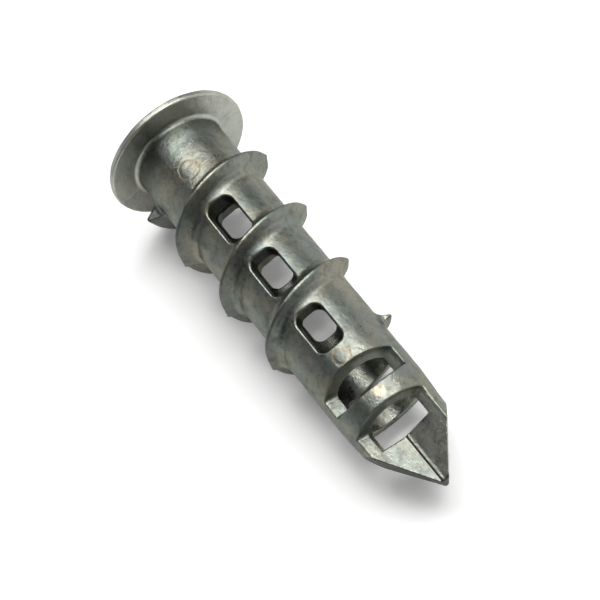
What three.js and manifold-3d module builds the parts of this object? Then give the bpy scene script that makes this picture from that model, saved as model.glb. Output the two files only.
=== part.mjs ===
// Self-drilling wall anchor, die-cast in zinc alloy. Millimetres.
// The anchor's axis is Y: the flange lies at y = 0 and the drill point faces +Y.
// +Z and -Z are the two faces the halves of the die pulled away from, so every window opens
// along Z and the parting plane is z = 0. The casting is one body; it is built whole and then
// divided by flat planes into its named regions.
import * as THREE from 'three';
import { mergeVertices } from 'three/addons/utils/BufferGeometryUtils.js';
import Module from 'manifold-3d';

const wasm = await Module();
wasm.setup();

const FLANGE_RADIUS = 6.65;
const FLANGE_THICKNESS = 0.6;
const RIM_CHAMFER = 0.1;
const LENGTH_BELOW_FLANGE = 37.4;

// Shank skin: a slim cone that draws in a little more beside the drill point.
const SHANK_RADIUS = 4.19;
const SHANK_TAPER = 0.011;
const SHOULDER_START = 29.5;
const SHOULDER_END = 32.2;
const SHOULDER_RADIUS = 3.65;
const NECK_FILLET = 0.4;
const skinRadius = (y) => SHANK_RADIUS - SHANK_TAPER * y;

// Bore for the screw, blind at the foot of the drill point, with a lead-in and a driver cross.
const BORE_RADIUS_TOP = 2.75;
const BORE_RADIUS_END = 2.66;
const BORE_END = 32.87;
const LEAD_IN_RADIUS = 3.2;
const LEAD_IN_DEPTH = 1.4;
const CROSS_SPAN = 7.4;
const CROSS_WIDTH = 1.5;
const CROSS_DEPTH = 3.6;
const CROSS_FOOT = 0.74;

// Single-start right-hand thread, measured in turns from the middle of the +Z face. It starts and
// ends on the parting plane, both ends lean a little towards its middle, and it narrows where it
// ends. The flanks are hollow: halfway down in width, they are still low in height.
const LEAD = 6.25;
const FRONT_CREST = 7.29;
const CREST_RADIUS = 5.8;
const CREST_TAPER = 0.04;
const THREAD_START = -0.75;
const THREAD_END = 2.75;
const THREAD_ROOT = 2.3;
const THREAD_CREST = 0.3;
const CREST_ROUNDING = 0.1;
const HOLLOW_HEIGHT = 0.3;
const HOLLOW_SPREAD = 0.5;
const THREAD_OVERLAP = 0.4;
const RUN_OUT = 0.15;
const END_SIZE = 0.65;
const START_SHIFT = 0.3;
const END_SHIFT = 0.2;
const STEPS_PER_TURN = 36;
const ROUND_STEPS = 60;

// Windows through the wall, one set per face, one window per turn of the thread. On the +Z face
// they get a little shorter towards the drill point.
const WINDOW_WIDTH = 2.5;
const WINDOW_CORNER = 0.75;
const WINDOW_INNER = { z: 1.8, size: 0.84 };
const WINDOW_OUTER = { z: 6, size: 1.1 };
const WINDOW_COUNT = 3;
const FRONT_WINDOWS = { start: 8.45, length: 4.3, shortening: 0.15 };
const BACK_WINDOWS = { start: 5.4, length: 3.4, shortening: 0 };

// Cage: openings cut from each face down to a shallow V, leaving two rails and a rung per face.
// One side of the V is lower, so a narrow flat land with a step down runs up the middle.
const LOW_SIDE = { centre: 0.5, slope: 0.45 };
const LAND = { height: 0.75, halfWidth: 0.12 };
const HIGH_SLOPE = 0.372;
const STEP_FOOT = 0.24;
const FRONT_RUNG = { from: 29.4, to: 30.8 };
const BACK_RUNG = { from: 28.5, to: 30.0 };
const FRONT_OPENING = 26.66;
const BACK_OPENING = 26.4;
const OPENING_DRAFT = Math.tan(THREE.MathUtils.degToRad(14));
const RUNG_TIP_DRAFT = Math.tan(THREE.MathUtils.degToRad(8));

// Drill point: two flat flanks that meet in a small blunt end. The flank on the -X side leans, so
// that its edge on the +Z face stands proud.
const LEFT_FLANK = { halfWidth: 0.28, slope: 0.64, lean: 0 };
const RIGHT_FLANK = { halfWidth: 0.17, slope: 0.757, lean: 0.26 };

// How far a cutter reaches past the casting, across it and along it.
const OUTSIDE = 8;
const BEYOND = 1;

// ---- helpers ----

function toManifold(geometry) {
  geometry.deleteAttribute('normal');
  geometry.deleteAttribute('uv');
  const welded = mergeVertices(geometry, 1e-5);
  const vertProperties = new Float32Array(welded.attributes.position.array);
  const triVerts = new Uint32Array(welded.index.array);
  return new wasm.Manifold(new wasm.Mesh({ numProp: 3, vertProperties, triVerts }));
}

function lathe(points) {
  const profile = points.map(([radius, y]) => new THREE.Vector2(radius, y));
  return toManifold(new THREE.LatheGeometry(profile, ROUND_STEPS));
}

// A box between two limits on each axis, its corners exactly on them so that neighbours share faces.
function box(x, y, z) {
  const geometry = new THREE.BoxGeometry(2, 2, 2);
  const corners = geometry.attributes.position;
  const pick = ([low, high], sign) => (sign < 0 ? low : high);
  for (let i = 0; i < corners.count; i += 1) {
    corners.setXYZ(i, pick(x, corners.getX(i)), pick(y, corners.getY(i)), pick(z, corners.getZ(i)));
  }
  return toManifold(geometry);
}

// Extrudes a shape from 0 to 1 and hands every corner (u, v, t) to place(), which returns [x, y, z].
function loft(shape, place, curveSegments = 6) {
  const geometry = new THREE.ExtrudeGeometry(shape, { depth: 1, bevelEnabled: false, curveSegments });
  const corners = geometry.attributes.position;
  for (let i = 0; i < corners.count; i += 1) {
    corners.setXYZ(i, ...place(corners.getX(i), corners.getY(i), corners.getZ(i)));
  }
  return toManifold(geometry);
}

function polygon(points) {
  return new THREE.Shape(points.map(([u, v]) => new THREE.Vector2(u, v)));
}

function roundedRectangle(width, length, radius) {
  const w = width / 2;
  const h = length / 2;
  const shape = new THREE.Shape();
  shape.moveTo(-w + radius, -h);
  shape.lineTo(w - radius, -h);
  shape.absarc(w - radius, -h + radius, radius, -Math.PI / 2, 0, false);
  shape.lineTo(w, h - radius);
  shape.absarc(w - radius, h - radius, radius, 0, Math.PI / 2, false);
  shape.lineTo(-w + radius, h);
  shape.absarc(-w + radius, h - radius, radius, Math.PI / 2, Math.PI, false);
  shape.lineTo(-w, -h + radius);
  shape.absarc(-w + radius, -h + radius, radius, Math.PI, Math.PI * 1.5, false);
  return shape;
}

// ---- the outside ----

function flangeDisc() {
  return lathe([
    [0, -FLANGE_THICKNESS],
    [FLANGE_RADIUS - RIM_CHAMFER, -FLANGE_THICKNESS],
    [FLANGE_RADIUS, -FLANGE_THICKNESS + RIM_CHAMFER],
    [FLANGE_RADIUS, -RIM_CHAMFER],
    [FLANGE_RADIUS - RIM_CHAMFER, 0],
    [0, 0],
  ]);
}

function shank() {
  const fillet = [0, 30, 60, 90].map((degrees) => {
    const angle = THREE.MathUtils.degToRad(degrees);
    const y = NECK_FILLET * (1 - Math.cos(angle));
    return [skinRadius(NECK_FILLET) + NECK_FILLET * (1 - Math.sin(angle)), y];
  });
  return lathe([
    [0, 0],
    ...fillet,
    [skinRadius(SHOULDER_START), SHOULDER_START],
    [SHOULDER_RADIUS, SHOULDER_END],
    [SHOULDER_RADIUS, LENGTH_BELOW_FLANGE],
    [0, LENGTH_BELOW_FLANGE],
  ]);
}

// The thread's outline in a plane through the axis, as [radius, distance along the axis].
// size narrows the whole outline where the thread runs out.
function threadOutline(y, size) {
  const root = skinRadius(y);
  const crest = CREST_RADIUS - CREST_TAPER * y;
  const reach = (size * THREAD_ROOT) / 2;
  const land = (size * THREAD_CREST) / 2;
  const half = [
    [crest, land - CREST_ROUNDING / 2],
    [crest - CREST_ROUNDING, land + CREST_ROUNDING / 2],
    [root + HOLLOW_HEIGHT * (crest - root), land + HOLLOW_SPREAD * (reach - land)],
    [root, reach],
    [root - THREAD_OVERLAP, reach],
  ];
  return [...half.map(([r, d]) => [r, -d]).reverse(), ...half];
}

function thread() {
  const turns = THREAD_END - THREAD_START;
  const steps = Math.round(turns * STEPS_PER_TURN);
  const positions = [];
  const index = [];
  let ring = 0;
  for (let i = 0; i <= steps; i += 1) {
    const turn = THREAD_START + (turns * i) / steps;
    const angle = 2 * Math.PI * turn;
    const starting = Math.max(0, 1 - (turn - THREAD_START) / RUN_OUT);
    const ending = Math.max(0, 1 - (THREAD_END - turn) / RUN_OUT);
    const axial = FRONT_CREST + LEAD * turn + START_SHIFT * starting - END_SHIFT * ending;
    const size = 1 - (1 - END_SIZE) * ending;
    const outline = threadOutline(axial, size);
    ring = outline.length;
    for (const [radius, offset] of outline) {
      positions.push(radius * Math.sin(angle), axial + offset, radius * Math.cos(angle));
    }
  }
  for (let i = 0; i < steps; i += 1) {
    for (let j = 0; j < ring; j += 1) {
      const a = i * ring + j;
      const b = i * ring + ((j + 1) % ring);
      index.push(a, a + ring, b, b, a + ring, b + ring);
    }
  }
  const last = steps * ring;
  for (let j = 0; j < ring / 2 - 1; j += 1) {
    const across = ring - 1 - j;
    index.push(j, j + 1, across - 1, j, across - 1, across);
    index.push(last + j, last + across - 1, last + j + 1, last + j, last + across, last + across - 1);
  }
  const geometry = new THREE.BufferGeometry();
  geometry.setAttribute('position', new THREE.Float32BufferAttribute(positions, 3));
  geometry.setIndex(index);
  return toManifold(geometry);
}

// ---- what is taken away ----

function bore() {
  const face = -FLANGE_THICKNESS;
  return lathe([
    [0, face - BEYOND],
    [LEAD_IN_RADIUS, face - BEYOND],
    [LEAD_IN_RADIUS, face],
    [BORE_RADIUS_TOP, LEAD_IN_DEPTH],
    [BORE_RADIUS_END, BORE_END],
    [0, BORE_END],
  ]);
}

// One bar of the driver cross, turned by the given angle about the axis.
function crossBar(turned) {
  const face = -FLANGE_THICKNESS - BEYOND;
  const outline = polygon([
    [-CROSS_SPAN / 2, -CROSS_WIDTH / 2],
    [CROSS_SPAN / 2, -CROSS_WIDTH / 2],
    [CROSS_SPAN / 2, CROSS_WIDTH / 2],
    [-CROSS_SPAN / 2, CROSS_WIDTH / 2],
  ]);
  return loft(outline, (u, v, t) => {
    const y = THREE.MathUtils.lerp(CROSS_DEPTH, face, t);
    const size = THREE.MathUtils.lerp(CROSS_FOOT, 1, t);
    const x = size * (u * Math.cos(turned) - v * Math.sin(turned));
    const z = size * (u * Math.sin(turned) + v * Math.cos(turned));
    return [x, y, z];
  });
}

// side is +1 for the +Z face and -1 for the -Z face. Each window narrows towards the bore.
function windowCut(side, row, number) {
  const length = row.length - row.shortening * number;
  const middle = row.start + length / 2 + number * LEAD;
  const shape = roundedRectangle(WINDOW_WIDTH, length, WINDOW_CORNER);
  return loft(shape, (u, v, t) => {
    const size = THREE.MathUtils.lerp(WINDOW_INNER.size, WINDOW_OUTER.size, t);
    const z = THREE.MathUtils.lerp(WINDOW_INNER.z, WINDOW_OUTER.z, t);
    return [side * u * size, middle + v * size, side * z];
  });
}

// The V floor of the openings, seen along the axis; the two faces are half a turn apart.
function troughOutline() {
  const low = (u) => LOW_SIDE.centre + LOW_SIDE.slope * u;
  return polygon([
    [OUTSIDE, OUTSIDE],
    [-OUTSIDE, OUTSIDE],
    [-OUTSIDE, LAND.height + HIGH_SLOPE * (OUTSIDE - LAND.halfWidth)],
    [-LAND.halfWidth, LAND.height],
    [LAND.halfWidth, LAND.height],
    [STEP_FOOT, low(STEP_FOOT)],
    [OUTSIDE, low(OUTSIDE)],
  ]);
}

// An opening between two stations measured at the skin; both ends lean so that it narrows inward.
function opening(side, from, to, draftFrom, draftTo) {
  const skin = skinRadius(from);
  return loft(troughOutline(), (u, v, t) => {
    const depth = skin - v;
    const y = t < 0.5 ? to - draftTo * depth : from + draftFrom * depth;
    return [side * u, y, side * v];
  });
}

// What lies inside one flank; side is +1 for the +X side and -1 for the -X side, where the block
// is turned half a turn about Y.
function flankBlock(side, { halfWidth, slope, lean }) {
  const width = (y, z) => halfWidth + slope * (LENGTH_BELOW_FLANGE - y) + lean * z;
  const outline = polygon([[0, 0], [1, 0], [1, 1], [0, 1]]);
  return loft(outline, (u, v, t) => {
    const y = THREE.MathUtils.lerp(-BEYOND, LENGTH_BELOW_FLANGE, v);
    const z = side * OUTSIDE * (2 * t - 1);
    return [side * THREE.MathUtils.lerp(-OUTSIDE, width(y, z), u), y, z];
  });
}

function pointFlanks() {
  return flankBlock(1, LEFT_FLANK).intersect(flankBlock(-1, RIGHT_FLANK));
}

function wholeCasting() {
  let body = flangeDisc().add(shank()).add(thread());
  body = body.subtract(bore());
  body = body.subtract(crossBar(0)).subtract(crossBar(Math.PI / 2));
  for (let number = 0; number < WINDOW_COUNT; number += 1) {
    body = body.subtract(windowCut(1, FRONT_WINDOWS, number));
    body = body.subtract(windowCut(-1, BACK_WINDOWS, number));
  }
  const end = LENGTH_BELOW_FLANGE + BEYOND;
  const cuts = [
    opening(1, FRONT_OPENING, FRONT_RUNG.from, OPENING_DRAFT, OPENING_DRAFT),
    opening(1, FRONT_RUNG.to, end, RUNG_TIP_DRAFT, 0),
    opening(-1, BACK_OPENING, BACK_RUNG.from, OPENING_DRAFT, OPENING_DRAFT),
    opening(-1, BACK_RUNG.to, end, RUNG_TIP_DRAFT, 0),
  ];
  for (const cut of cuts) {
    body = body.subtract(cut);
  }
  return body.intersect(pointFlanks());
}

// ---- the named regions ----

const NECK_END = 5.0;
const FRONT_SPLIT = 13.7;
const BACK_SPLIT = 10.3;
const CAGE_START = 26.1;
const RUNG_SPLIT = 27.7;
const RAIL_INNER = 2.1;
const POINT_START = 32.5;

// Each region is the part of the casting inside the given limits; a limit left out is open.
function regions() {
  const front = { z: [0, OUTSIDE] };
  const back = { z: [-OUTSIDE, 0] };
  const inner = { x: [-RAIL_INNER, RAIL_INNER] };
  const list = {
    flange: { y: [-FLANGE_THICKNESS - BEYOND, 0] },
    neck_front: { y: [0, NECK_END], ...front },
    neck_back: { y: [0, NECK_END], ...back },
  };
  const frontEdges = [NECK_END, FRONT_SPLIT, FRONT_SPLIT + LEAD, CAGE_START];
  const backEdges = [NECK_END, BACK_SPLIT, BACK_SPLIT + LEAD, CAGE_START];
  for (let i = 0; i < WINDOW_COUNT; i += 1) {
    list[`shank_front_${i + 1}`] = { y: [frontEdges[i], frontEdges[i + 1]], ...front };
    list[`shank_back_${i + 1}`] = { y: [backEdges[i], backEdges[i + 1]], ...back };
  }
  list.collar_front = { y: [CAGE_START, RUNG_SPLIT], ...inner, ...front };
  list.collar_back = { y: [CAGE_START, RUNG_SPLIT], ...inner, ...back };
  list.rung_front = { y: [RUNG_SPLIT, POINT_START], ...inner, ...front };
  list.rung_back = { y: [RUNG_SPLIT, POINT_START], ...inner, ...back };
  list.rail_left = { y: [CAGE_START, POINT_START], x: [RAIL_INNER, OUTSIDE] };
  list.rail_right = { y: [CAGE_START, POINT_START], x: [-OUTSIDE, -RAIL_INNER] };
  list.point_left = { y: [POINT_START, LENGTH_BELOW_FLANGE + BEYOND], x: [0, OUTSIDE] };
  list.point_right = { y: [POINT_START, LENGTH_BELOW_FLANGE + BEYOND], x: [-OUTSIDE, 0] };
  return list;
}

function regionBox({ x = [-OUTSIDE, OUTSIDE], y, z = [-OUTSIDE, OUTSIDE] }) {
  return box(x, y, z);
}

function toGeometry(body) {
  const mesh = body.getMesh();
  const geometry = new THREE.BufferGeometry();
  geometry.setAttribute('position', new THREE.BufferAttribute(mesh.vertProperties, 3));
  geometry.setIndex(new THREE.BufferAttribute(mesh.triVerts, 1));
  geometry.computeVertexNormals();
  return geometry;
}

const zincCasting = new THREE.MeshStandardMaterial({
  color: 0x8f928c,
  roughness: 0.45,
  metalness: 1,
});

const casting = wholeCasting();
const anchor = new THREE.Group();
anchor.name = 'wall_anchor';
for (const [name, limits] of Object.entries(regions())) {
  const geometry = toGeometry(casting.intersect(regionBox(limits)));
  const mesh = new THREE.Mesh(geometry, zincCasting);
  mesh.name = name;
  anchor.add(mesh);
}

export default anchor;
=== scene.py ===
import math

import bmesh
import bpy
import numpy as np
from mathutils import Matrix, Quaternion, Vector


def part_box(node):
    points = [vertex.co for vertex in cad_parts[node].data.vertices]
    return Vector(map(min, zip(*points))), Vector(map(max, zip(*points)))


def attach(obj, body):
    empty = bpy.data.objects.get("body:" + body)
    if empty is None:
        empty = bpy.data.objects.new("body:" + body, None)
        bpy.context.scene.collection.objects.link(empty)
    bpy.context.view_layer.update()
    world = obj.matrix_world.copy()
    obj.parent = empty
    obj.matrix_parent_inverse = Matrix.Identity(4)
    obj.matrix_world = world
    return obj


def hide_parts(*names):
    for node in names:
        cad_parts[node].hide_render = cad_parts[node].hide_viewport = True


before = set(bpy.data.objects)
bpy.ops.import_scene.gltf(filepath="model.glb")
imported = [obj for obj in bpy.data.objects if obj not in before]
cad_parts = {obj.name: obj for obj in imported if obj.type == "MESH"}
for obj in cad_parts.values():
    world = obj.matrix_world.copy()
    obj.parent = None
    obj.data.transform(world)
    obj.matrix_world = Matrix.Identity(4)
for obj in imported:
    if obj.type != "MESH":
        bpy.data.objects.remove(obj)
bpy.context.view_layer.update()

MM = 0.001


def low(node):
    """Lowest corner of a CAD node, in millimetres."""
    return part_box(node)[0] / MM


def high(node):
    """Highest corner of a CAD node, in millimetres."""
    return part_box(node)[1] / MM


# ---- sizes, in millimetres ----

FLANGE_RADIUS = high("flange").x
FLANGE_THICKNESS = -low("flange").y
LENGTH_BELOW_FLANGE = high("point_left").y
RIM_EDGE = 0.16

# The skin's radius at stations along the axis.
SKIN_STATIONS = (0.0, 29.5, 32.2)
SKIN_RADII = (4.19, 3.8655, 3.65)
NECK_FILLET = 0.4

BORE_STATIONS = (-FLANGE_THICKNESS, 1.4, 32.87)
BORE_RADII = (3.2, 2.75, 2.66)
BORE_EDGE = 0.08
CROSS_SPAN = 7.4
CROSS_WIDTH = 1.5
CROSS_DEPTH = 3.6
CROSS_FOOT = 0.74
CROSS_EDGE = 0.1

# Right-hand thread, counted in turns from the middle of the +Z face towards +X.
LEAD = 6.25
FRONT_CREST = 7.29
CREST_RADIUS = 5.8
CREST_TAPER = 0.04
CREST_LAND = 0.15
FLANK = 0.43
THREAD_START = -0.747
THREAD_END = 2.747
THREAD_EDGE = 0.1
THREAD_FILLET = 0.5
RUN_OUT = 0.15
START_SHIFT = 0.3
END_SIZE = 0.65
END_SHIFT = 0.15
END_LEAN = 0.35
# Where the two halves of the die met: a crest that stands proud, and a back half set towards
# the flange where it leaves the +X side.
CREST_CUSP = 0.1
CUSP_REACH = 0.8
BACK_SHIFT = 0.22
BACK_SHIFT_DEPTHS = (0.05, 0.2)

WINDOW_WIDTH = 2.5
WINDOW_CORNER = 0.75
WINDOW_DEPTHS = (1.8, 6.0)
WINDOW_SIZES = (0.84, 1.1)
WINDOW_COUNT = 3
WINDOW_EDGE = 0.2
# Each row's start, first length and how much shorter each next window is.
FRONT_WINDOWS = (8.45, 4.3, 0.15)
BACK_WINDOWS = (5.4, 3.4, 0.0)

# The V floor of the openings: a low side, a step up to a narrow flat land, and a high side.
LOW_HEIGHT = 0.5
LOW_SLOPE = 0.45
LAND_HEIGHT = 0.75
LAND_HALF_WIDTH = 0.12
HIGH_SLOPE = 0.372
STEP_FOOT = 0.24
FLOOR_EDGE = 0.03
OPENING_FILLET = 0.22
OPENING_EDGE = 0.1
OPENING_DRAFT = math.tan(math.radians(14))
RUNG_TIP_DRAFT = math.tan(math.radians(8))
# Each face's openings: where the first starts, how that wall slants, and the rung's two sides.
FRONT_CAGE = (26.66, 0.0, 29.4, 30.8)
BACK_CAGE = (26.45, -0.1, 28.5, 30.0)

# Each flank of the drill point: half-width at the end, slope along the axis and lean across it.
LEFT_FLANK = (0.28, 0.64, 0.0)
RIGHT_FLANK = (0.17, 0.757, 0.26)
POINT_EDGE = 0.09

# Marks left by the ejector pins: station on the axis and radius, all on the +Z face.
EJECTOR_MARKS = ((4.5, 0.88), (25.93, 0.65))
MARK_DEPTH = 0.018
MARK_WIDTH = 0.12
PARTING_HEIGHT = 0.035
PARTING_WIDTH = 0.1
UNEVENNESS = 0.012

# Painted highlights, warm glints each given as a place and a radius: the middle of the +Z rung, and
# two on the edge of the right rail by the point.
PAINTED_GLINT_SPOTS = (((-0.5, 30.0, 3.82), 0.68), ((-3.35, 31.4, 1.95), 0.3), ((-3.3, 32.2, 1.95), 0.38))

# Spacing of the grid the field is meshed on, and how often its points are moved onto the surface.
GRID = 0.1
PROJECTIONS = 3

# The flange's piece takes in this much of the neck's fillet, so that the cut misses its flat face.
FLANGE_MARGIN = 0.05

# How far the floor lies below the flange's rim.
FLOOR_GAP = 0.03


# ---- the casting as a signed-distance field, negative inside the metal ----


def union(a, b, fillet):
    """Both solids, with a fillet of that radius in the corner between them."""
    round_part = np.hypot(np.maximum(fillet - a, 0), np.maximum(fillet - b, 0))
    return np.maximum(fillet, np.minimum(a, b)) - round_part


def common(a, b, edge):
    """What lies in both solids, with its edge rounded to that radius."""
    return -union(-a, -b, edge)


def cut(a, b, edge):
    """The first solid without the second, with its edge rounded to that radius."""
    return common(a, -b, edge)


def skin(y):
    return np.interp(y, SKIN_STATIONS, SKIN_RADII)


def waves(x, y, z, size, seed):
    """Smooth unevenness between -1 and 1, its lumps about that size apart."""
    k = math.tau / size
    total = np.sin(k * x + 1.3 * np.sin(0.7 * k * y + seed))
    total = total + np.sin(k * y + 1.7 * np.sin(0.8 * k * z + 2 * seed))
    total = total + np.sin(k * z + 1.1 * np.sin(0.9 * k * x + 3 * seed))
    return total / 3


def turned_body(radius, y):
    """Flange and shank, as turned on a lathe."""
    flange = common(radius - FLANGE_RADIUS, y, RIM_EDGE)
    body = union(flange, radius - skin(y), NECK_FILLET)
    return common(body, -FLANGE_THICKNESS - y, RIM_EDGE)


def thread(x, y, z, radius):
    around = np.arctan2(x, z) / math.tau
    turn = around + np.round((y - FRONT_CREST) / LEAD - around)
    starting = np.clip(1 - (turn - THREAD_START) / RUN_OUT, 0, 1)
    ending = np.clip(1 - (THREAD_END - turn) / RUN_OUT, 0, 1)
    crest = CREST_RADIUS - CREST_TAPER * y + CREST_CUSP * np.clip(1 - np.abs(z) / CUSP_REACH, 0, 1)
    middle = FRONT_CREST + LEAD * turn + START_SHIFT * starting
    middle = middle - ending * (END_SHIFT + END_LEAN * np.maximum(crest - radius, 0))
    behind = np.interp(-z, BACK_SHIFT_DEPTHS, (0, 1)) * (1 - starting)
    middle = middle - BACK_SHIFT * behind * (1 + x / np.maximum(radius, 1)) / 2
    size = 1 - (1 - END_SIZE) * ending
    offset = np.abs(y - middle)
    half_width = size * (CREST_LAND + FLANK * (crest - radius))
    ridge = common((offset - half_width) / math.hypot(1, FLANK), radius - crest, THREAD_EDGE)
    beyond_end = np.maximum(THREAD_START - turn, turn - THREAD_END) * math.tau * radius
    return common(ridge, beyond_end, THREAD_EDGE)


def surface_relief(x, y, z, radius):
    """How far the as-cast skin stands off its nominal place: parting line, pin marks, unevenness.

    The parting line dies out across the rim, because the flange's outer face was cast flat.
    """
    height = PARTING_HEIGHT * np.exp(-((z / PARTING_WIDTH) ** 2))
    height = height * np.interp(y, (-FLANGE_THICKNESS, 0), (0, 1))
    for station, size in EJECTOR_MARKS:
        from_mark = np.hypot(x, y - station) - size
        ring = np.exp(-((from_mark / MARK_WIDTH) ** 2)) * (1 + 0.6 * waves(x, y, z, 0.9, 2.2))
        height = height - MARK_DEPTH * ring * (z > 0) * (radius > BORE_RADII[0])
    return height + UNEVENNESS * (waves(x, y, z, 3.1, 0.4) + 0.6 * waves(x, y, z, 1.1, 1.9))


def bore(radius, y):
    return np.maximum(radius - np.interp(y, BORE_STATIONS, BORE_RADII), y - BORE_STATIONS[-1])


def driver_cross(x, y, z):
    size = np.interp(y, (-FLANGE_THICKNESS - 1, CROSS_DEPTH), (1, CROSS_FOOT))
    bars = []
    for along, across in ((x, z), (z, x)):
        length = np.abs(along) - size * CROSS_SPAN / 2
        width = np.abs(across) - size * CROSS_WIDTH / 2
        bars.append(common(length, width, CROSS_EDGE))
    return common(np.minimum(*bars), y - CROSS_DEPTH, CROSS_EDGE)


def windows(x, y, depth, row):
    """One face's row of windows. depth is the height above the axis on that face."""
    start, length, shortening = row
    number = np.clip(np.round((y - start - length / 2) / LEAD), 0, WINDOW_COUNT - 1)
    length = length - shortening * number
    middle = start + length / 2 + number * LEAD
    size = np.interp(depth, WINDOW_DEPTHS, WINDOW_SIZES)
    corner = WINDOW_CORNER * size
    u = np.abs(x) - size * WINDOW_WIDTH / 2 + corner
    v = np.abs(y - middle) - size * length / 2 + corner
    outline = np.hypot(np.maximum(u, 0), np.maximum(v, 0)) + np.minimum(np.maximum(u, v), 0)
    return np.maximum(outline - corner, WINDOW_DEPTHS[0] - depth)


def cage_floor(x, depth):
    """The metal below the V floor, with its step, on a face whose outward direction is depth."""
    low_side = (depth - LOW_HEIGHT - LOW_SLOPE * x) / math.hypot(1, LOW_SLOPE)
    high_side = (depth - LAND_HEIGHT + HIGH_SLOPE * (x + LAND_HALF_WIDTH)) / math.hypot(1, HIGH_SLOPE)
    run = STEP_FOOT - LAND_HALF_WIDTH
    drop = LAND_HEIGHT - LOW_HEIGHT - LOW_SLOPE * STEP_FOOT
    step = (drop * (x - LAND_HALF_WIDTH) + run * (depth - LAND_HEIGHT)) / math.hypot(drop, run)
    raised = common(union(high_side, depth - LAND_HEIGHT, FLOOR_EDGE), step, FLOOR_EDGE)
    return union(raised, low_side, FLOOR_EDGE)


def openings(x, y, depth, cage):
    """The two openings on one face: the first stops at the rung, the second runs off the point."""
    start, slant, rung_start, rung_end = cage
    first = start + slant * x
    below = skin(first) - depth
    lean = math.hypot(1, OPENING_DRAFT)
    head_wall = (first + OPENING_DRAFT * below - y) / lean
    rung_wall = (y - rung_start + OPENING_DRAFT * below) / lean
    tip_wall = (rung_end + RUNG_TIP_DRAFT * below - y) / math.hypot(1, RUNG_TIP_DRAFT)
    above = -cage_floor(x, depth)
    near = common(common(above, head_wall, OPENING_FILLET), rung_wall, OPENING_FILLET)
    far = common(above, tip_wall, OPENING_FILLET)
    return np.minimum(near, far)


def flank(out, y, z, sizes):
    """What lies inside one flank of the drill point; out points across the axis to its side."""
    half_width, along, lean = sizes
    width = half_width + along * (LENGTH_BELOW_FLANGE - y) + lean * z
    return (out - width) / math.hypot(1, along, lean)


def drill_point(x, y, z):
    flanks = np.maximum(flank(x, y, z, LEFT_FLANK), flank(-x, y, z, RIGHT_FLANK))
    return common(flanks, y - LENGTH_BELOW_FLANGE, POINT_EDGE)


def casting(x, y, z):
    radius = np.hypot(x, z)
    body = union(turned_body(radius, y), thread(x, y, z, radius), THREAD_FILLET)
    body = body - surface_relief(x, y, z, radius)
    body = cut(body, bore(radius, y), BORE_EDGE)
    body = cut(body, driver_cross(x, y, z), CROSS_EDGE)
    for side, row, cage in ((1, FRONT_WINDOWS, FRONT_CAGE), (-1, BACK_WINDOWS, BACK_CAGE)):
        body = cut(body, windows(x, y, side * z, row), WINDOW_EDGE)
        body = cut(body, openings(side * x, y, side * z, cage), OPENING_EDGE)
    return common(body, drill_point(x, y, z), POINT_EDGE)


# ---- meshing the field ----

CORNERS = [np.array((i, j, k)) for i in (0, 1) for j in (0, 1) for k in (0, 1)]
CELL_EDGES = [(a, b) for a in CORNERS for b in CORNERS if (b - a).sum() == 1 and (b - a).min() == 0]


def sample_field():
    """The field on a regular grid round the casting: its lowest corner and its values."""
    margin = 3 * GRID
    origin = np.array((-FLANGE_RADIUS, -FLANGE_THICKNESS, -FLANGE_RADIUS)) - margin
    top = np.array((FLANGE_RADIUS, LENGTH_BELOW_FLANGE, FLANGE_RADIUS)) + margin
    counts = np.ceil((top - origin) / GRID).astype(int)
    xs, ys, zs = (origin[i] + GRID * np.arange(counts[i]) for i in range(3))
    x, z = np.meshgrid(xs, zs, indexing="ij")
    values = np.empty(counts, np.float32)
    for j, y in enumerate(ys):
        values[:, j, :] = casting(x, y, z)
    return origin, values


def net_points(values, cells):
    """One point in each cell that the surface crosses, in grid units: the mean of its crossings."""
    total = np.zeros((len(cells), 3))
    count = np.zeros((len(cells), 1))
    for start, end in CELL_EDGES:
        a = values[tuple((cells + start).T)]
        b = values[tuple((cells + end).T)]
        crossed = ((a < 0) != (b < 0))[:, None]
        share = (a / np.where(a == b, 1, a - b))[:, None]
        total += np.where(crossed, cells + start + share * (end - start), 0)
        count += crossed
    return total / count


def net_faces(inside, number):
    """A quad round each grid edge that crosses the surface, facing out of the metal."""
    faces = []
    for axis in range(3):
        u, v = np.eye(3, dtype=int)[[(axis + 1) % 3, (axis + 2) % 3]]
        ahead = np.roll(inside, -1, axis)
        at = np.argwhere(inside != ahead)
        quad = np.stack([number[tuple((at - shift).T)] for shift in (u * 0, u, u + v, v)], axis=1)
        leaving = inside[tuple(at.T)]
        quad[~leaving] = quad[~leaving][:, ::-1]
        faces.append(quad)
    return np.concatenate(faces)


def slope(points, reach=0.02):
    """The field's gradient at each point."""
    parts = []
    for shift in np.eye(3) * reach:
        parts.append(casting(*(points + shift).T) - casting(*(points - shift).T))
    return np.stack(parts, axis=1) / (2 * reach)


def outward(points):
    gradient = slope(points)
    return gradient / np.linalg.norm(gradient, axis=1, keepdims=True)


def casting_surface():
    """Points in millimetres and quads of the whole casting's surface."""
    origin, values = sample_field()
    inside = values < 0
    nx, ny, nz = np.array(inside.shape) - 1
    corners = [inside[i : nx + i, j : ny + j, k : nz + k] for i, j, k in CORNERS]
    crossed = np.logical_or.reduce(corners) & ~np.logical_and.reduce(corners)
    cells = np.argwhere(crossed)
    number = np.full(inside.shape, -1)
    number[tuple(cells.T)] = np.arange(len(cells))
    points = origin + GRID * net_points(values, cells)
    faces = net_faces(inside, number)
    for _ in range(PROJECTIONS):
        gradient = slope(points)
        reach = casting(*points.T) / np.maximum((gradient**2).sum(axis=1), 0.25)
        points -= gradient * np.clip(reach, -GRID / 2, GRID / 2)[:, None]
    return points, faces


# ---- cutting it into pieces ----


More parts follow.
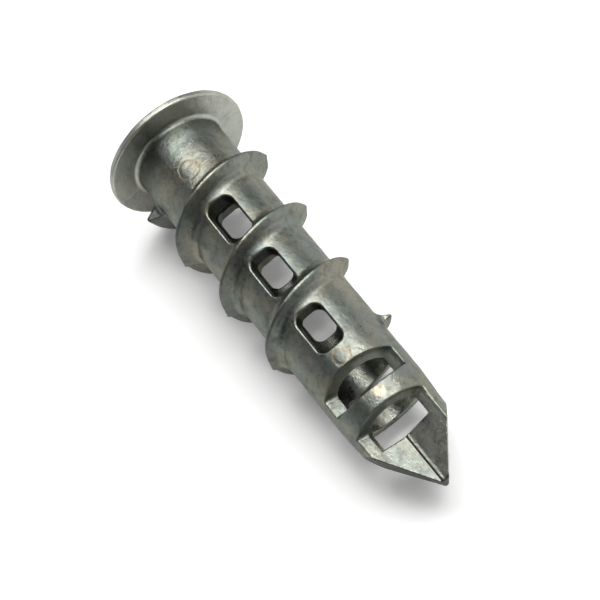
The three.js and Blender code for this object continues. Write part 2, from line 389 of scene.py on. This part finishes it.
def piece_limits():
    """The lowest and highest corner of each piece's box, from the frame's nodes."""
    far = 2 * LENGTH_BELOW_FLANGE
    neck_end = high("neck_front").y
    cage = low("rail_left").y
    point = low("point_left").y
    inner = low("rail_left").x
    limits = {"flange": ((-far, -far, -far), (far, FLANGE_MARGIN, far))}

    def halves(name, start, end, width=far):
        limits[name.format("front")] = ((-width, start, 0), (width, end, far))
        limits[name.format("back")] = ((-width, start, -far), (width, end, 0))

    halves("neck_{}", FLANGE_MARGIN, neck_end)
    for side, low_z, high_z in (("front", 0, far), ("back", -far, 0)):
        start = neck_end
        for number in range(1, WINDOW_COUNT + 1):
            name = f"shank_{side}_{number}"
            end = high(name).y
            limits[name] = ((-far, start, low_z), (far, end, high_z))
            start = end
    between = (high("collar_front").y + low("rung_front").y) / 2
    halves("collar_{}", cage, between, inner)
    halves("rung_{}", between, point, inner)
    limits["rail_left"] = ((inner, cage, -far), (far, point, far))
    limits["rail_right"] = ((-far, cage, -far), (-inner, point, far))
    limits["point_left"] = ((0, point, -far), (far, far, far))
    limits["point_right"] = ((-far, point, -far), (0, far, far))
    return limits


def cut_and_close(bm, place, direction):
    """Removes what lies beyond the plane and closes the cut with flat faces."""
    geometry = bm.verts[:] + bm.edges[:] + bm.faces[:]
    result = bmesh.ops.bisect_plane(
        bm, geom=geometry, dist=1e-5, plane_co=place, plane_no=direction, clear_outer=True
    )
    edges = [part for part in result["geom_cut"] if isinstance(part, bmesh.types.BMEdge)]
    if edges:
        filled = bmesh.ops.triangle_fill(bm, use_beauty=True, edges=edges, normal=direction)
        for part in filled["geom"]:
            if isinstance(part, bmesh.types.BMFace):
                part.smooth = False


def crop(name, points, faces, lowest, highest):
    """A closed mesh of the casting's surface inside a box."""
    near = ((points > np.array(lowest) - 2 * GRID) & (points < np.array(highest) + 2 * GRID)).all(axis=1)
    kept = faces[near[faces].any(axis=1)]
    used, corners = np.unique(kept, return_inverse=True)
    mesh = bpy.data.meshes.new(name)
    mesh.from_pydata(points[used].tolist(), [], corners.reshape(kept.shape).tolist())
    mesh.polygons.foreach_set("use_smooth", [True] * len(mesh.polygons))
    bm = bmesh.new()
    bm.from_mesh(mesh)
    for axis, direction in enumerate(np.eye(3)):
        for limit, sign in ((lowest, -1), (highest, 1)):
            if abs(limit[axis]) < LENGTH_BELOW_FLANGE:
                cut_and_close(bm, direction * limit[axis], direction * sign)
    bm.to_mesh(mesh)
    bm.free()
    return mesh


def make_piece(node, mesh, material):
    """A piece that stands for the CAD node, with its mesh in metres."""
    set_normals(mesh)
    mesh.transform(Matrix.Scale(MM, 4))
    mesh.materials.append(material)
    piece = bpy.data.objects.new(mesh.name, mesh)
    bpy.context.scene.collection.objects.link(piece)
    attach(piece, "root")
    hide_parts(node)
    return piece


def set_normals(mesh):
    """Shades the skin by the field, so that no seam shows where two pieces meet; cuts stay flat."""
    points = np.empty(len(mesh.vertices) * 3)
    mesh.vertices.foreach_get("co", points)
    corner_point = np.empty(len(mesh.loops), int)
    mesh.loops.foreach_get("vertex_index", corner_point)
    normals = outward(points.reshape(-1, 3))[corner_point]
    smooth = np.empty(len(mesh.polygons), bool)
    mesh.polygons.foreach_get("use_smooth", smooth)
    sizes = np.empty(len(mesh.polygons), int)
    mesh.polygons.foreach_get("loop_total", sizes)
    flat_normals = np.empty(len(mesh.polygons) * 3)
    mesh.polygons.foreach_get("normal", flat_normals)
    flat = np.repeat(~smooth, sizes)
    normals[flat] = np.repeat(flat_normals.reshape(-1, 3), sizes, axis=0)[flat]
    mesh.normals_split_custom_set(normals.tolist())


# ---- material ----

# Base colours: three tones of the skin, the pale tone of the grain and of the painted light on the
# flange and cage, the stain round the pin marks, the painted shade and the painted warm highlights.
COOL = (0.185, 0.205, 0.185, 1)
WARM = (0.25, 0.242, 0.195, 1)
DARK = (0.09, 0.10, 0.085, 1)
PALE = (0.26, 0.26, 0.23, 1)
BROWN = (0.20, 0.17, 0.11, 1)
PAINTED_SHADE = (0.05, 0.055, 0.05, 1)
PAINTED_GLINT = (0.66, 0.50, 0.34, 1)

LUMP_HEIGHT = 0.08 * MM
GRAIN_HEIGHT = 0.022 * MM


class Nodes:
    """Short calls that add nodes to a material and return their outputs."""

    def __init__(self, material):
        material.use_nodes = True
        self.tree = material.node_tree
        self.tree.nodes.clear()

    def add(self, kind, **values):
        node = self.tree.nodes.new(kind)
        for name, value in values.items():
            setattr(node, name, value)
        return node

    def feed(self, node, inputs):
        for name, value in inputs.items():
            if isinstance(value, bpy.types.NodeSocket):
                self.tree.links.new(value, node.inputs[name])
            else:
                node.inputs[name].default_value = value
        return node

    def noise(self, place, scale, detail=4.0, roughness=0.55, distortion=0.0):
        node = self.add("ShaderNodeTexNoise")
        self.feed(node, {"Vector": place, "Scale": scale, "Detail": detail})
        self.feed(node, {"Roughness": roughness, "Distortion": distortion})
        return node.outputs["Fac"]

    def ramp(self, value, low, high, to_low=0.0, to_high=1.0):
        node = self.add("ShaderNodeMapRange", interpolation_type="SMOOTHSTEP")
        self.feed(node, {"Value": value, "From Min": low, "From Max": high})
        self.feed(node, {"To Min": to_low, "To Max": to_high})
        return node.outputs["Result"]

    def mix(self, share, a, b, blend="MIX"):
        node = self.add("ShaderNodeMix", data_type="RGBA", blend_type=blend)
        self.feed(node, {0: share, 6: a, 7: b})
        return node.outputs[2]

    def math(self, operation, a, b=0.0, c=0.0):
        node = self.add("ShaderNodeMath", operation=operation)
        self.feed(node, {0: a, 1: b, 2: c})
        return node.outputs[0]

    def distance(self, a, b=(0, 0, 0)):
        node = self.add("ShaderNodeVectorMath", operation="DISTANCE")
        self.feed(node, {0: a, 1: b})
        return node.outputs["Value"]

    def bump(self, height, distance, strength, below=None):
        node = self.add("ShaderNodeBump")
        self.feed(node, {"Height": height, "Distance": distance, "Strength": strength})
        if below is not None:
            self.feed(node, {"Normal": below})
        return node.outputs["Normal"]


def part_coordinates(n):
    """The place on the part in millimetres, its X and Y, and how far it is from the axis."""
    where = n.add("ShaderNodeTexCoord").outputs["Object"]
    mapping = n.feed(n.add("ShaderNodeMapping"), {"Vector": where, "Scale": (1 / MM, 1 / MM, 1 / MM)})
    place = mapping.outputs["Vector"]
    split = n.feed(n.add("ShaderNodeSeparateXYZ"), {"Vector": place}).outputs
    across = n.feed(n.add("ShaderNodeCombineXYZ"), {"X": split["X"], "Z": split["Z"]})
    return place, split["X"], split["Y"], n.distance(across.outputs[0])


def zinc_casting():
    """Dull die-cast zinc: a cool grey with warm stains, uneven roughness and a pitted grain."""
    material = bpy.data.materials.new("zinc_casting")
    n = Nodes(material)
    place, x, y, radius = part_coordinates(n)
    stains = n.noise(place, 0.32, 5.0, 0.6, 0.4)
    clouds = n.noise(place, 0.9, 6.0, 0.65)
    pits = n.noise(place, 2.6, 5.0, 0.7)
    grain = n.noise(place, 6.0, 3.0, 0.6)

    colour = n.mix(n.ramp(stains, 0.42, 0.66), COOL, WARM)
    colour = n.mix(n.ramp(clouds, 0.5, 0.7, 0.0, 0.55), colour, DARK)
    colour = n.mix(n.ramp(pits, 0.52, 0.7, 0.0, 0.7), colour, DARK)
    colour = n.mix(n.ramp(grain, 0.62, 0.72, 0.0, 0.7), colour, PALE)
    colour = n.mix(pin_stain(n, place, clouds), colour, BROWN)
    # Painted light: the flange and the -X inner faces of the cage are lightened.
    colour = n.mix(painted_light_faces(n, x, y, radius), colour, PALE, "SCREEN")
    # Painted shade: the +X flank, the blunt end and the thread's +X side are darkened.
    colour = n.mix(painted_shade_faces(n, x, y, radius), colour, PAINTED_SHADE)
    # Painted highlights: warm glints on the +Z rung and on the right rail's edge.
    colour = n.mix(painted_glints(n, place, pits), colour, PAINTED_GLINT)

    shader = n.feed(n.add("ShaderNodeBsdfPrincipled"), {"Base Color": colour, "Metallic": 1.0})
    n.feed(shader, {"Roughness": skin_roughness(n, y, radius, clouds, grain)})
    n.feed(shader, {"Normal": skin_normal(n, y, radius, clouds, pits, grain)})
    shader.inputs["Specular Tint"].default_value = (0.6, 0.6, 0.58, 1)
    n.feed(n.add("ShaderNodeOutputMaterial"), {"Surface": shader.outputs["BSDF"]})
    return material


def pin_stain(n, place, clouds):
    """How brown the skin is round the marks of the ejector pins."""
    total = 0.0
    for station, size in EJECTOR_MARKS:
        from_centre = n.distance(place, (0, station, float(skin(station))))
        off_ring = n.math("ABSOLUTE", n.math("SUBTRACT", from_centre, size))
        total = n.math("ADD", n.ramp(off_ring, 0.05, 0.3, 0.6, 0.0), total)
    return n.math("MULTIPLY", total, n.ramp(clouds, 0.35, 0.6))


def painted_light_faces(n, x, y, radius):
    """Painted light: how much the zinc is lightened, most on the flange and on the -X inner faces of the
    cage.
    """
    inside = n.ramp(radius, 3.2, 3.7, 1.0, 0.0)
    cage = n.math("MULTIPLY", inside, n.ramp(y, FRONT_CAGE[0] - 0.8, FRONT_CAGE[0]))
    cage = n.math("MULTIPLY", cage, n.ramp(x, -0.3, 0.1, 1.0, 0.08))
    flange = n.ramp(y, 0.02, 0.3, 0.95, 0.0)
    return n.math("MAXIMUM", cage, flange)


def painted_shade_faces(n, x, y, radius):
    """Painted shade: how much the zinc is darkened on the trimmed +X flank, the blunt end and the
    thread's +X side.
    """
    half_width, along, _ = LEFT_FLANK
    across_flank = n.math("MULTIPLY_ADD", y, along, x)
    flank_place = half_width + along * LENGTH_BELOW_FLANGE
    flank_shade = n.ramp(across_flank, flank_place - 0.1, flank_place - 0.02, 0.0, 0.8)
    end_shade = n.ramp(y, LENGTH_BELOW_FLANGE - 0.35, LENGTH_BELOW_FLANGE - 0.05, 0.0, 0.85)
    ridge = n.math("MULTIPLY", n.ramp(radius, 4.1, 4.6), n.ramp(y, 0.4, 0.7))
    side = n.math("MULTIPLY", ridge, n.ramp(x, 2.6, 4.2, 0.0, 0.4))
    return n.math("MAXIMUM", n.math("MAXIMUM", flank_shade, end_shade), side)


def painted_glints(n, place, pits):
    """Painted highlights: how strongly each spot shows a bright, warm glint."""
    total = 0.0
    for spot, size in PAINTED_GLINT_SPOTS:
        glint = n.ramp(n.distance(place, spot), 0.2 * size, size, 1.0, 0.0)
        total = n.math("ADD", glint, total)
    return n.math("MULTIPLY", total, n.ramp(pits, 0.62, 0.4, 0.35, 1.0))


def skin_roughness(n, y, radius, clouds, grain):
    """Uneven roughness, a little lower on the wall of the bore."""
    cloudy = n.ramp(clouds, 0.3, 0.7, 0.29, 0.44)
    roughness = n.math("ADD", cloudy, n.ramp(grain, 0.3, 0.7, -0.05, 0.08))
    bore_end = BORE_STATIONS[-1]
    before_end = n.ramp(y, bore_end - 0.4, bore_end - 0.1, 1.0, 0.0)
    in_bore = n.math("MULTIPLY", n.ramp(radius, 2.7, 2.85, 0.05, 0.0), before_end)
    return n.math("SUBTRACT", roughness, in_bore)


def skin_normal(n, y, radius, clouds, pits, grain):
    """Soft lumps, pits that are coarser on the outside of the cage, and a fine grain."""
    coarse = n.ramp(y, FRONT_CAGE[0] - 1, FRONT_CAGE[0] + 1, 0.5, 0.8)
    coarse = n.math("MULTIPLY", coarse, n.ramp(radius, 2.6, 3.0, 0.45, 1.0))
    normal = n.bump(clouds, LUMP_HEIGHT, 0.5)
    normal = n.bump(n.math("MULTIPLY", pits, coarse), LUMP_HEIGHT, 0.8, normal)
    return n.bump(grain, GRAIN_HEIGHT, 0.8, normal)


# ---- camera, floor and light ----


def look_from(azimuth, elevation):
    a, e = math.radians(azimuth), math.radians(elevation)
    return Vector((math.sin(a) * math.cos(e), -math.cos(a) * math.cos(e), math.sin(e)))


def add_camera():
    data = bpy.data.cameras.new("camera")
    data.sensor_width = 36
    data.lens = 72
    data.clip_start = 0.005
    data.clip_end = 10
    camera = bpy.data.objects.new("camera", data)
    back = look_from(183.92, 63.74)
    aim = Vector((-0.10, 18.26, 0.0)) * MM
    camera.location = aim + back * 96.4 * MM
    upright = (-back).to_track_quat("-Z", "Y")
    camera.rotation_mode = "QUATERNION"
    camera.rotation_quaternion = upright @ Quaternion((0, 0, 1), math.radians(-43.7))
    bpy.context.scene.collection.objects.link(camera)
    bpy.context.scene.camera = camera
    return camera


def add_floor():
    """A pale surface under the flange's rim and the thread's last turn, fading into the backdrop."""
    rest_station = FRONT_CREST + LEAD * 2.5
    rest_height = -(CREST_RADIUS - CREST_TAPER * rest_station)
    lean = math.atan2(rest_height + FLANGE_RADIUS, rest_station)
    half = 0.4
    mesh = bpy.data.meshes.new("floor")
    corners = [(-half, -half, 0), (half, -half, 0), (half, half, 0), (-half, half, 0)]
    mesh.from_pydata(corners, [], [(0, 1, 2, 3)])
    floor = bpy.data.objects.new("floor", mesh)
    floor.location = (0, 0, -(FLANGE_RADIUS + FLOOR_GAP) * MM)
    floor.rotation_euler = (lean, 0, 0)
    material = bpy.data.materials.new("pale_floor")
    n = Nodes(material)
    shader = n.add("ShaderNodeBsdfPrincipled")
    n.feed(shader, {"Base Color": (0.9, 0.9, 0.895, 1), "Roughness": 0.8})
    distance = n.distance(n.add("ShaderNodeTexCoord").outputs["Object"])
    seen = n.add("ShaderNodeLightPath").outputs["Is Camera Ray"]
    fade = n.math("MULTIPLY_ADD", n.ramp(distance, 0.08, 0.25), seen, 0.12)
    n.feed(shader, {"Emission Color": (1, 1, 1, 1), "Emission Strength": fade})
    n.feed(n.add("ShaderNodeOutputMaterial"), {"Surface": shader.outputs["BSDF"]})
    mesh.materials.append(material)
    bpy.context.scene.collection.objects.link(floor)


# Softboxes round the object: azimuth and elevation in degrees, side in metres, power in watts.
SOFTBOXES = {
    "key": (288, 58, 0.24, 1.0),
    "top": (346, 63, 0.16, 0.48),
    "right_high": (240, 62, 0.24, 0.3),
    "right_low": (275, 12, 0.20, 0.14),
    "left_low": (45, 12, 0.20, 0.12),
    "left": (90, 20, 0.24, 0.08),
    "tip_side": (225, 35, 0.24, 0.2),
}

LAMP_DISTANCE = 0.35
MIDDLE = Vector((0, 0.018, 0))


def add_softbox(name, azimuth, elevation, side, power):
    data = bpy.data.lights.new(name, "AREA")
    data.size = side
    data.energy = power
    lamp = bpy.data.objects.new(name, data)
    away = look_from(azimuth, elevation)
    lamp.location = MIDDLE + away * LAMP_DISTANCE
    lamp.rotation_mode = "QUATERNION"
    lamp.rotation_quaternion = (-away).to_track_quat("-Z", "Y")
    lamp.visible_camera = False
    bpy.context.scene.collection.objects.link(lamp)


def add_lights():
    """Softboxes in an almost dark room, whose pale backdrop is seen behind the floor."""
    for name, (azimuth, elevation, side, power) in SOFTBOXES.items():
        add_softbox(name, azimuth, elevation, side, power)
    world = bpy.data.worlds.new("studio")
    n = Nodes(world)
    seen = n.add("ShaderNodeLightPath").outputs["Is Camera Ray"]
    backdrop = n.add("ShaderNodeBackground")
    n.feed(backdrop, {"Color": (0.99, 1.0, 1.0, 1), "Strength": n.ramp(seen, 0, 1, 0.03, 1.0)})
    n.feed(n.add("ShaderNodeOutputWorld"), {"Surface": backdrop.outputs["Background"]})
    bpy.context.scene.world = world
    bpy.context.scene.view_settings.view_transform = "Standard"


add_camera()
add_floor()
add_lights()
zinc = zinc_casting()
surface_points, surface_faces = casting_surface()
for node_name, (lowest_corner, highest_corner) in piece_limits().items():
    cropped = crop(f"zinc_{node_name}", surface_points, surface_faces, lowest_corner, highest_corner)
    make_piece(node_name, cropped, zinc)
